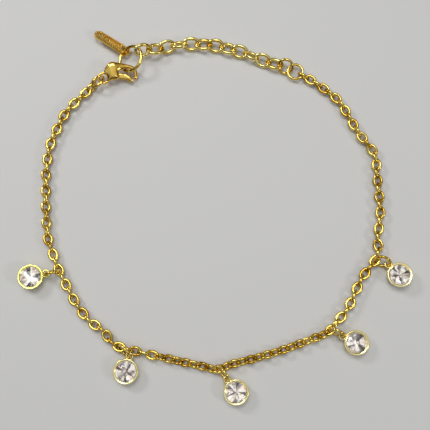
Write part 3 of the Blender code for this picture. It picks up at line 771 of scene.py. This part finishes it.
def foiled_seat(name, radius, depth, edge, shift):
    """A solid seat shaped like the pavilion; each facet has its own painted reflection tone."""
    top, low = -edge - FOIL_GAP, -SEAT_DEPTH
    rim = [2.0 * math.pi * k / 16 for k in range(16)]
    points = [(radius * math.cos(a), radius * math.sin(a), top) for a in rim]
    lower = [2.0 * math.pi * (k + 0.5) / 8 for k in range(8)]
    lower_height = top - depth * (1.0 - LOWER_SHARE * HALF_TURN)
    reach = LOWER_SHARE * radius
    points += [(reach * math.cos(a), reach * math.sin(a), lower_height) for a in lower]
    points.append((0.0, 0.0, top - depth))
    points += [(radius * math.cos(a), radius * math.sin(a), low) for a in rim]
    faces, tones = [], []
    for k in range(8):
        u, v, u_after = 2 * k, 2 * k + 1, (2 * k + 2) % 16
        faces += [(u, v, 16 + k), (v, u_after, 16 + k), (u, 16 + k, 24, 16 + (k - 1) % 8)]
        tones += [FOIL_PAINTED_REFLECTIONS[(3 * k + step + shift) % len(FOIL_PAINTED_REFLECTIONS)] for step in range(3)]
    for k in range(16):
        faces.append((k, (k + 1) % 16, 25 + (k + 1) % 16, 25 + k))
        tones.append(0)
    faces.append(tuple(25 + k for k in range(16)))
    tones.append(0)
    mesh = mesh_from(name, points, faces, smooth=False)
    for face, tone in zip(mesh.polygons, tones):
        face.material_index = tone
    return facing_out(mesh)


# %% Material: clear stone and the foil behind it
# Scale of the cells of painted sparkle on the foil.
PAINTED_SPARKLE_CELLS = 1700.0


def clear_stone(name, tint, ior):
    material, shader, _, _ = new_finish(name, tint)
    shader.inputs["Base Color"].default_value = (*tint, 1.0)
    shader.inputs["Transmission Weight"].default_value = 1.0
    shader.inputs["IOR"].default_value = ior
    shader.inputs["Roughness"].default_value = 0.01
    return material


def silver_foil_painted_light(name, bright, dull, painted_glow):
    material, shader, nodes, links = new_finish(name, bright)
    shader.inputs["Metallic"].default_value = 0.45
    place = nodes.new("ShaderNodeTexCoord")
    # Voronoi cells mix the bright and dull tones into painted sparkle.
    cells = nodes.new("ShaderNodeTexVoronoi")
    cells.inputs["Scale"].default_value = PAINTED_SPARKLE_CELLS
    tones = two_tones(nodes, 0.30, dull, 0.62, bright)
    links.new(place.outputs["Object"], cells.inputs["Vector"])
    links.new(cells.outputs["Color"], tones.inputs["Fac"])
    links.new(tones.outputs["Color"], shader.inputs["Base Color"])
    # The emission is a painted glow: the foil shines by itself, in place of light the stone
    # gathers.
    links.new(tones.outputs["Color"], shader.inputs["Emission Color"])
    shader.inputs["Emission Strength"].default_value = painted_glow
    shader.inputs["Roughness"].default_value = 0.22
    return material


# %% The stone and four foils, toned as painted reflections with a painted glow
stone_clear = clear_stone("stone_clear", (1.0, 0.99, 0.99), 1.5)
# The last number of each foil is the strength of its painted glow.
stone_foils = [
    silver_foil_painted_light("foil_painted_reflection_white", (0.99, 0.95, 0.91), (0.40, 0.38, 0.36), 0.40),
    silver_foil_painted_light("foil_painted_reflection_grey", (0.60, 0.58, 0.56), (0.24, 0.23, 0.24), 0.20),
    silver_foil_painted_light("foil_painted_reflection_rose", (0.97, 0.82, 0.73), (0.52, 0.42, 0.38), 0.36),
    silver_foil_painted_light("foil_painted_reflection_dark", (0.24, 0.23, 0.24), (0.10, 0.10, 0.11), 0.02),
]

# %% [markdown]
# ## Charms in place
# Each charm lies flat on the table, or a little tipped where its ring lifts it. Its place is read
# from the solid: its far side gives the middle of the cup, and its lowest point the table.

# %% Where the five charms lie
# Each row is the heading away from the chain and the tip of the cup, in degrees.
CHARMS = [(195, 8), (258, 0), (306, 0), (333, 0), (313, 6)]


def charm_place(node, away, tilt):
    turn = Matrix.Rotation(math.radians(away), 4, "Z")
    turn = turn @ Matrix.Rotation(-math.radians(tilt), 4, "Y")
    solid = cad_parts[node]
    corners = np.array([turn.inverted() @ (solid.matrix_world @ v.co) for v in solid.data.vertices])
    middle = Vector((
        corners[:, 0].max() - 0.5 * BEZEL_DIAMETER,
        0.5 * (corners[:, 1].min() + corners[:, 1].max()),
        corners[:, 2].min(),
    ))
    return turn @ Matrix.Translation(middle)


# %% Helper: the loop at a cup's side
LOOP_STEPS = 36
LOOP_SIDES = 12


def loop_mesh(tilt):
    rim = 0.5 * BEZEL_DIAMETER + (BEZEL_HEIGHT - LOOP_HEIGHT) * math.sin(math.radians(tilt))
    reach = rim + 0.5 * RING_WIRE + 2.0 * CLEARANCE
    angle = 2.0 * np.pi * np.arange(LOOP_STEPS) / LOOP_STEPS
    radius = 0.5 * (LOOP_HOLE + LOOP_WIRE)
    path = oval_path(angle, radius, radius)
    points, faces = sweep_wire(path, LOOP_WIRE, LOOP_SIDES, True)
    return mesh_from("loop", points + np.array([-reach, 0.0, LOOP_HEIGHT]), faces)


# %% Put cups, foils and stones together
STONE_TURN = math.radians(11.0)
STONE = (GIRDLE_RADIUS, PAVILION_DEPTH, GIRDLE_EDGE)
FOIL_SHIFT = 5
cup = spin("cup", CUP_OUTLINE, CUP_STEPS)
unmoved = Matrix.Identity(4)
for number, (away, tilt) in enumerate(CHARMS, 1):
    node = f"charm_{number}"
    place = charm_place(node, away, tilt)
    metal = lime_gold if number == 1 else cup_gold
    setting = joined(f"charm_{number}_cup", [(cup, unmoved, 0), (loop_mesh(tilt), unmoved, 0)])
    setting.set_sharp_from_angle(angle=CREASE)
    add_piece(f"charm_{number}_cup", setting, [metal], [node], place=place)
    turn = Matrix.Rotation(STONE_TURN * number, 4, "Z")
    up = Matrix.Translation((0.0, 0.0, GIRDLE_HEIGHT)) @ turn
    stone = brilliant(f"charm_{number}_stone", *STONE, CROWN_RISE)
    add_piece(f"charm_{number}_stone", stone, [stone_clear], place=place @ up)
    seat_foil = foiled_seat(f"charm_{number}_foil", *STONE, FOIL_SHIFT * number)
    add_piece(f"charm_{number}_foil", seat_foil, stone_foils, place=place @ up)
print("charms set", len(CHARMS))

# %% [markdown]
# ## A cast clasp
# The clasp is cast, so its form is soft: thick in the body, thin at the eye and the hook, with
# rounded sides. It starts as a flat blank cut to the outline, in millimetres. Every point is then
# raised by its distance from the edge, which gives the domed section. The slot for the lever is
# cut last, and a fine remesh with a little smoothing softens its edges as casting does.

# %% Clasp outlines, as shares of its length and width
BODY_OUTLINE = [
    (0.130, -0.200), (0.240, -0.185), (0.350, -0.215), (0.450, -0.175), (0.485, -0.020),
    (0.488, 0.080), (0.545, 0.130), (0.650, 0.140), (0.760, 0.115), (0.842, 0.035),
    (0.881, -0.082), (0.879, -0.230), (0.852, -0.330), (0.893, -0.435), (0.965, -0.320),
    (0.998, -0.130), (0.980, 0.070), (0.860, 0.240), (0.620, 0.420), (0.500, 0.510),
    (0.400, 0.570), (0.300, 0.585), (0.200, 0.510), (0.110, 0.390),
]
LEVER_OUTLINE = [
    (0.290, -0.060), (0.325, 0.040), (0.420, 0.055), (0.560, -0.010), (0.680, -0.115),
    (0.790, -0.290), (0.829, -0.372), (0.802, -0.460), (0.735, -0.495), (0.640, -0.345),
    (0.470, -0.225), (0.325, -0.165),
]
SLOT_OUTLINE = [
    (0.255, -0.330), (0.600, -0.330), (0.600, 0.150), (0.450, 0.150), (0.330, 0.095),
    (0.255, 0.040),
]
PIN_PLACE = (0.360, -0.055)
CLASP_SWELL = [
    (0.00, 0.0), (0.14, 0.35), (0.26, 1.0), (0.42, 1.0), (0.56, 0.35), (0.70, 0.0), (1.10, 0.0),
]
HOOK_THICKNESS = 0.92
EYE_THICKNESS = 0.52
EYE_DIAMETER = 2.50
EYE_REACH = 0.1
LEVER_THICKNESS = 0.70
PIN_DIAMETER = 0.50
LENGTH, WIDTH, THICKNESS = CLASP_LENGTH / MM, CLASP_WIDTH / MM, CLASP_THICKNESS / MM


# %% Helper: a flat blank with holes, in millimetres
WELD = 0.0005
EDGE_ROUNDS = 3


def blank(name, outlines, thickness, edge=0.0):
    data = bpy.data.curves.new(name, "CURVE")
    data.dimensions = "2D"
    data.fill_mode = "BOTH"
    data.extrude = 0.5 * thickness - edge
    data.bevel_depth = edge
    data.bevel_resolution = EDGE_ROUNDS
    data.offset = -edge
    for outline in outlines:
        spline = data.splines.new("POLY")
        spline.points.add(len(outline) - 1)
        for point, place in zip(spline.points, outline):
            point.co = (place[0], place[1], 0.0, 1.0)
        spline.use_cyclic_u = True
    item = placed(name, data)
    graph = bpy.context.evaluated_depsgraph_get()
    mesh = bpy.data.meshes.new_from_object(item.evaluated_get(graph))
    bpy.data.objects.remove(item, do_unlink=True)
    mesh.materials.clear()
    return facing_out(mesh, WELD)


# %% Helper: apply modifiers to a mesh
def worked(mesh, steps):
    item = placed("work", mesh)
    tools = []
    for kind, settings in steps:
        step = item.modifiers.new(kind.lower(), kind)
        for key, value in settings.items():
            if key == "object":
                value = placed("tool", value)
                tools.append(value)
            setattr(step, key, value)
    bpy.context.view_layer.update()
    graph = bpy.context.evaluated_depsgraph_get()
    result = bpy.data.meshes.new_from_object(item.evaluated_get(graph))
    for used in [item] + tools:
        bpy.data.objects.remove(used, do_unlink=True)
    return result


# %% Helper: a circle or an oval as an outline
def circle(middle, diameter, steps, stretch=1.0):
    angles = [2.0 * math.pi * step / steps for step in range(steps)]
    half = 0.5 * diameter
    return [
        (middle[0] + half * stretch * math.cos(a), middle[1] + half * math.sin(a)) for a in angles
    ]


# %% Helper: dome a blank by its distance from the edge
EDGE_STEPS = 12


def dome(mesh, outlines, thickness_at, blank_thickness, edge_share, round_share):
    edge_points = []
    for outline in outlines:
        corners = [Vector((*point, 0.0)) for point in outline]
        for start, end in zip(corners, corners[1:] + corners[:1]):
            edge_points += [start.lerp(end, step / EDGE_STEPS) for step in range(EDGE_STEPS)]
    edge = kdtree.KDTree(len(edge_points))
    for index, point in enumerate(edge_points):
        edge.insert(point, index)
    edge.balance()
    for vertex in mesh.vertices:
        away = edge.find((vertex.co.x, vertex.co.y, 0.0))[2]
        thickness = thickness_at(vertex.co.x)
        inward = 1.0 - min(1.0, away / (round_share * thickness))
        rise = edge_share + (1.0 - edge_share) * math.sqrt(max(0.0, 1.0 - inward * inward))
        vertex.co.z *= thickness / blank_thickness * rise


# %% Sizes of the clasp's casting, in millimetres
BLANK_THICKNESS = 1.0
BODY_VOXEL = 0.06
CAST_VOXEL = 0.05
LEVER_VOXEL = 0.045
BODY_EDGE, BODY_ROUND = 0.40, 0.56
LEVER_EDGE, LEVER_ROUND = 0.50, 0.50
SLOT_PLAY = 0.2
EYE_START, EYE_SWEEP, EYE_STEPS, EYE_SIDES = 75, 210, 14, 32
BODY_SPANS, LEVER_SPANS = 5, 6
BODY_SMOOTHING, LEVER_SMOOTHING = 8, 4
BORE_SIDES = 24


# %% Clasp body
def body_thickness(x):
    share = x / LENGTH
    thin = EYE_THICKNESS if share < EYE_REACH else HOOK_THICKNESS
    return thin + (THICKNESS - thin) * lookup(CLASP_SWELL, share)


eye_arc = []
for step in range(EYE_STEPS + 1):
    angle = math.radians(EYE_START + EYE_SWEEP * step / EYE_STEPS)
    eye_arc.append((0.5 * EYE_DIAMETER * math.cos(angle), 0.5 * EYE_DIAMETER * math.sin(angle)))
body_points = [(u * LENGTH, v * WIDTH) for u, v in BODY_OUTLINE]
body_line = [tuple(p) for p in smooth_points(eye_arc + body_points, BODY_SPANS, closed=True)]
eye_line = circle((0.0, 0.0), EYE_HOLE / MM, EYE_SIDES)
body_mesh = blank("clasp_blank", [body_line, eye_line], BLANK_THICKNESS)
body_mesh = worked(body_mesh, [("REMESH", {"mode": "VOXEL", "voxel_size": BODY_VOXEL})])
dome(body_mesh, [body_line, eye_line], body_thickness, BLANK_THICKNESS, BODY_EDGE, BODY_ROUND)
slot_line = [(u * LENGTH, v * WIDTH) for u, v in SLOT_OUTLINE]
slot_tool = blank("slot_tool", [slot_line], LEVER_THICKNESS + SLOT_PLAY)
body_mesh = worked(body_mesh, [
    ("BOOLEAN", {"operation": "DIFFERENCE", "solver": "EXACT", "object": slot_tool}),
    ("REMESH", {"mode": "VOXEL", "voxel_size": CAST_VOXEL}),
    ("SMOOTH", {"factor": 0.5, "iterations": BODY_SMOOTHING}),
])
body_mesh.transform(Matrix.Scale(MM, 4))
body_mesh.shade_smooth()
clasp_here = TO_TABLE @ clasp_place
add_piece("clasp_cast_body", body_mesh, [clasp_gold], ["clasp_body"], place=clasp_here)
print("clasp body points", len(body_mesh.vertices))

# %% [markdown]
# ## Lever and its pin
# The lever is a thin stamped piece with rounded edges, and a small riveted pin holds it in the
# slot of the body. It is made from a flat blank as the body is, and swells a little towards its
# thumb tab. It rides on a body of its own, so it turns about the pin when the clasp opens.

# %% Lever
TAB_SWELL = [(0.0, 0.0), (0.61, 0.0), (0.73, 0.30), (1.2, 0.30)]
pin_at = (PIN_PLACE[0] * LENGTH, PIN_PLACE[1] * WIDTH)


def lever_thickness(x):
    return LEVER_THICKNESS + lookup(TAB_SWELL, (x + pin_at[0]) / LENGTH)


lever_points = [(u * LENGTH - pin_at[0], v * WIDTH - pin_at[1]) for u, v in LEVER_OUTLINE]
lever_line = [tuple(p) for p in smooth_points(lever_points, LEVER_SPANS, closed=True)]
lever_bore = circle((0.0, 0.0), PIN_DIAMETER + SLOT_PLAY, BORE_SIDES)
lever_mesh = blank("lever_blank", [lever_line, lever_bore], LEVER_THICKNESS)
lever_mesh = worked(lever_mesh, [("REMESH", {"mode": "VOXEL", "voxel_size": LEVER_VOXEL})])
dome(lever_mesh, [lever_line], lever_thickness, LEVER_THICKNESS, LEVER_EDGE, LEVER_ROUND)
lever_mesh = worked(lever_mesh, [("SMOOTH", {"factor": 0.5, "iterations": LEVER_SMOOTHING})])
lever_mesh.transform(Matrix.Scale(MM, 4))
lever_mesh.shade_smooth()
pin_here = clasp_here @ Matrix.Translation((pin_at[0] * MM, pin_at[1] * MM, 0.0))
add_piece(
    "clasp_thumb_lever", lever_mesh, [clasp_gold], ["clasp_lever"], body="lever", place=pin_here
)
print("lever points", len(lever_mesh.vertices))

# %% Pin with its two rivet heads
# Each row is a radius and a depth below the end of the pin.
PIN_HEAD = [(0.0, 0.0), (0.16, 0.01), (0.27, 0.06), (0.30, 0.13), (0.25, 0.14)]
PIN_STEPS = 32
half = 0.5 * THICKNESS
pin_outline = [(r, -half + depth) for r, depth in PIN_HEAD]
pin_outline += [(r, half - depth) for r, depth in reversed(PIN_HEAD)]
pin_mesh = spin("clasp_pin", pin_outline, PIN_STEPS)
add_piece("clasp_rivet_pin", pin_mesh, [pale_gold], place=pin_here)
print("pin points", len(pin_mesh.vertices))

# %% [markdown]
# ## The tag
# The tag is a small cast bar with a raised rim, a slot at each end and a sunk field. The field
# holds a plain row of beads, a common way to fill it. Beads and field are cut and set while the bar
# lies flat, and the whole is then hung on the larger ring.

# %% Tag sizes
TAG_LENGTH = 8.60
TAG_WIDTH = 2.40
TAG_THICKNESS = 0.75
TAG_RIM = 0.38
TAG_RECESS = 0.18
TAG_HOLE_WIDTH = 1.25
TAG_HOLE_SLOT = 0.30
TAG_HOLE_EDGE = 0.45
TAG_HEADING = -33.0
TAG_ROLL = -38.0
TAG_RING_TAG = 128.0
TAG_BEVEL = 0.10
FIELD_CORNER = 0.25
END_STEPS = 16
HOLE_STEPS = 28
hole_length = TAG_HOLE_WIDTH + TAG_HOLE_SLOT
hole_x = 0.5 * TAG_LENGTH - TAG_HOLE_EDGE - 0.5 * hole_length


# %% Helper: outlines of a bar with round ends and of a box with soft corners
def round_bar(length, width, steps):
    outline = []
    for side in (1, -1):
        for step in range(steps + 1):
            angle = math.pi * (step / steps - 0.5)
            x = side * (0.5 * (length - width) + 0.5 * width * math.cos(angle))
            outline.append((x, side * 0.5 * width * math.sin(angle)))
    return outline


def soft_box(length, width, corner, steps=6):
    outline = []
    for quarter, (sx, sy) in enumerate(((1, 1), (-1, 1), (-1, -1), (1, -1))):
        for step in range(steps + 1):
            angle = 0.5 * math.pi * (quarter + step / steps)
            outline.append((
                sx * (0.5 * length - corner) + corner * math.cos(angle),
                sy * (0.5 * width - corner) + corner * math.sin(angle),
            ))
    return outline


# %% Tag
field_length = 2.0 * (hole_x - 0.5 * hole_length - TAG_RIM)
field_width = TAG_WIDTH - 2.0 * TAG_RIM
tag_lines = [round_bar(TAG_LENGTH, TAG_WIDTH, END_STEPS)]
for side in (1, -1):
    stretch = hole_length / TAG_HOLE_WIDTH
    tag_lines.append(circle((side * hole_x, 0.0), TAG_HOLE_WIDTH, HOLE_STEPS, stretch))
tag_mesh = blank("tag_blank", tag_lines, TAG_THICKNESS, TAG_BEVEL)
field_tool = blank("field_tool", [soft_box(field_length, field_width, FIELD_CORNER)], TAG_THICKNESS)
field_tool.transform(Matrix.Translation((0, 0, TAG_THICKNESS - TAG_RECESS)))
tag_mesh = worked(tag_mesh, [
    ("BOOLEAN", {"operation": "DIFFERENCE", "solver": "EXACT", "object": field_tool}),
])
tag_mesh.transform(Matrix.Scale(MM, 4))

# %% Beads in the field, and the tag on its ring
BEADS = 8
BEAD_RADIUS = 0.24
BEAD_HEIGHT = 0.8 * BEAD_RADIUS
BEAD_ROWS = 6
BEAD_STEPS = 18
FIELD_MARGIN = 0.2
TAG_CREASE = math.radians(35.0)
bead_angles = [0.5 * math.pi * step / BEAD_ROWS for step in range(BEAD_ROWS)]
bead_outline = [(BEAD_RADIUS * math.cos(a), BEAD_HEIGHT * math.sin(a)) for a in bead_angles]
bead_outline.append((0.0, BEAD_HEIGHT))
bead = spin("bead", bead_outline, BEAD_STEPS)
bead_step = (field_length - 2.0 * BEAD_RADIUS - FIELD_MARGIN) / (BEADS - 1)
pieces = [(tag_mesh, unmoved, 0)]
field_floor = (0.5 * TAG_THICKNESS - TAG_RECESS) * MM
for number in range(BEADS):
    x = (number - 0.5 * (BEADS - 1)) * bead_step
    pieces.append((bead, Matrix.Translation((x * MM, 0.0, field_floor)), 0))
tag_mesh = joined("tag", pieces)
tag_mesh.shade_smooth()
tag_mesh.set_sharp_from_angle(angle=TAG_CREASE)
tag_turn = turned_by((TAG_ROLL, 0.0, TAG_HEADING))
tag_at = tag_ring_place @ (heading(TAG_RING_TAG) * tag_ring_radius)
tag_place = Matrix.Translation(tag_at) @ tag_turn @ Matrix.Translation((-hole_x * MM, 0, 0))
add_piece("tag_bar", tag_mesh, [tag_gold], ["tag"], place=TO_TABLE @ tag_place)
print("tag beads", BEADS)

# %% [markdown]
# ## Table and light
# Polished metal shows what stands around it. A pale table top brightens it from below. A broad
# light behind and one from the left give long highlights, and a weaker one fills from the right.

# %% Table top
TABLE_SIZE = 3.0
TABLE_DROP = 0.1 * MM
TABLE_TONE = (0.72, 0.71, 0.69)
bpy.ops.mesh.primitive_plane_add(size=TABLE_SIZE, location=(0.0, 0.0, -TABLE_DROP))
table = bpy.context.object
table.name = "table_top"
table_paint, table_shader, _, _ = new_finish("pale_table", TABLE_TONE)
table_shader.inputs["Base Color"].default_value = (*TABLE_TONE, 1.0)
table_shader.inputs["Roughness"].default_value = 0.8
table.data.materials.append(table_paint)


# %% Lights
def soft_light(name, place, size, power):
    data = bpy.data.lights.new(name, "AREA")
    data.shape = "SQUARE"
    data.size = size
    data.energy = power
    lamp = placed(name, data)
    lamp.location = place
    lamp.rotation_euler = (-Vector(place)).to_track_quat("-Z", "Y").to_euler()


# Each row is a place in metres, the side of the square light and its power in watts.
soft_light("top_light", (-0.02, 0.10, 0.34), 0.13, 0.33)
soft_light("key_light", (-0.22, 0.16, 0.22), 0.08, 0.25)
soft_light("fill_light", (0.24, -0.10, 0.20), 0.06, 0.12)

# %% [markdown]
# ## Sky and colour
# The sky is bright overhead and pale at the horizon, with a dark band between. Wire that mirrors
# the band gets its dark edges, as it would in a dark box with an open top. The colours are shown
# straight, without a film curve, which keeps the gold saturated.

# %% Soft sky
world = bpy.data.worlds.new("studio")
bpy.context.scene.world = world
world.use_nodes = True
sky_nodes, sky_links = world.node_tree.nodes, world.node_tree.links
direction = sky_nodes.new("ShaderNodeTexCoord")
parts_of_it = sky_nodes.new("ShaderNodeSeparateXYZ")
sky_tones = sky_nodes.new("ShaderNodeValToRGB")
# Each row is the height of a direction, from 0 at the horizon to 1 overhead, and its brightness.
SKY_ROWS = [(0.0, 0.30), (0.26, 0.30), (0.36, 0.015), (0.56, 0.015), (0.97, 0.76)]
SKY_TINT = (0.96, 0.98, 1.0)
READY_ROWS = 2
for step, (sky_height, level) in enumerate(SKY_ROWS):
    if step < READY_ROWS:
        row = sky_tones.color_ramp.elements[step]
        row.position = sky_height
    else:
        row = sky_tones.color_ramp.elements.new(sky_height)
    row.color = (*(tint * level for tint in SKY_TINT), 1.0)
sky_links.new(direction.outputs["Generated"], parts_of_it.inputs["Vector"])
sky_links.new(parts_of_it.outputs["Z"], sky_tones.inputs["Fac"])
sky_links.new(sky_tones.outputs["Color"], sky_nodes["Background"].inputs["Color"])
bpy.context.scene.view_settings.view_transform = "Standard"

# %% [markdown]
# ## Camera
# The camera looks down steeply, ten degrees short of straight down, at the middle of the layout.

# %% Camera
VIEW_DISTANCE = 119.4 * MM
VIEW_ELEVATION = math.radians(80.0)
camera_data = bpy.data.cameras.new("camera")
camera_data.lens = 50.0
camera_data.sensor_width = 36.0
camera_data.clip_start = 5.0 * MM
camera = placed("camera", camera_data)
camera.location = SHIFT + Vector(
    (0.0, -VIEW_DISTANCE * math.cos(VIEW_ELEVATION), VIEW_DISTANCE * math.sin(VIEW_ELEVATION))
)
camera.rotation_euler = (math.radians(90.0) - VIEW_ELEVATION, 0.0, 0.0)
bpy.context.scene.camera = camera
print("camera at", [round(v, 4) for v in camera.location])
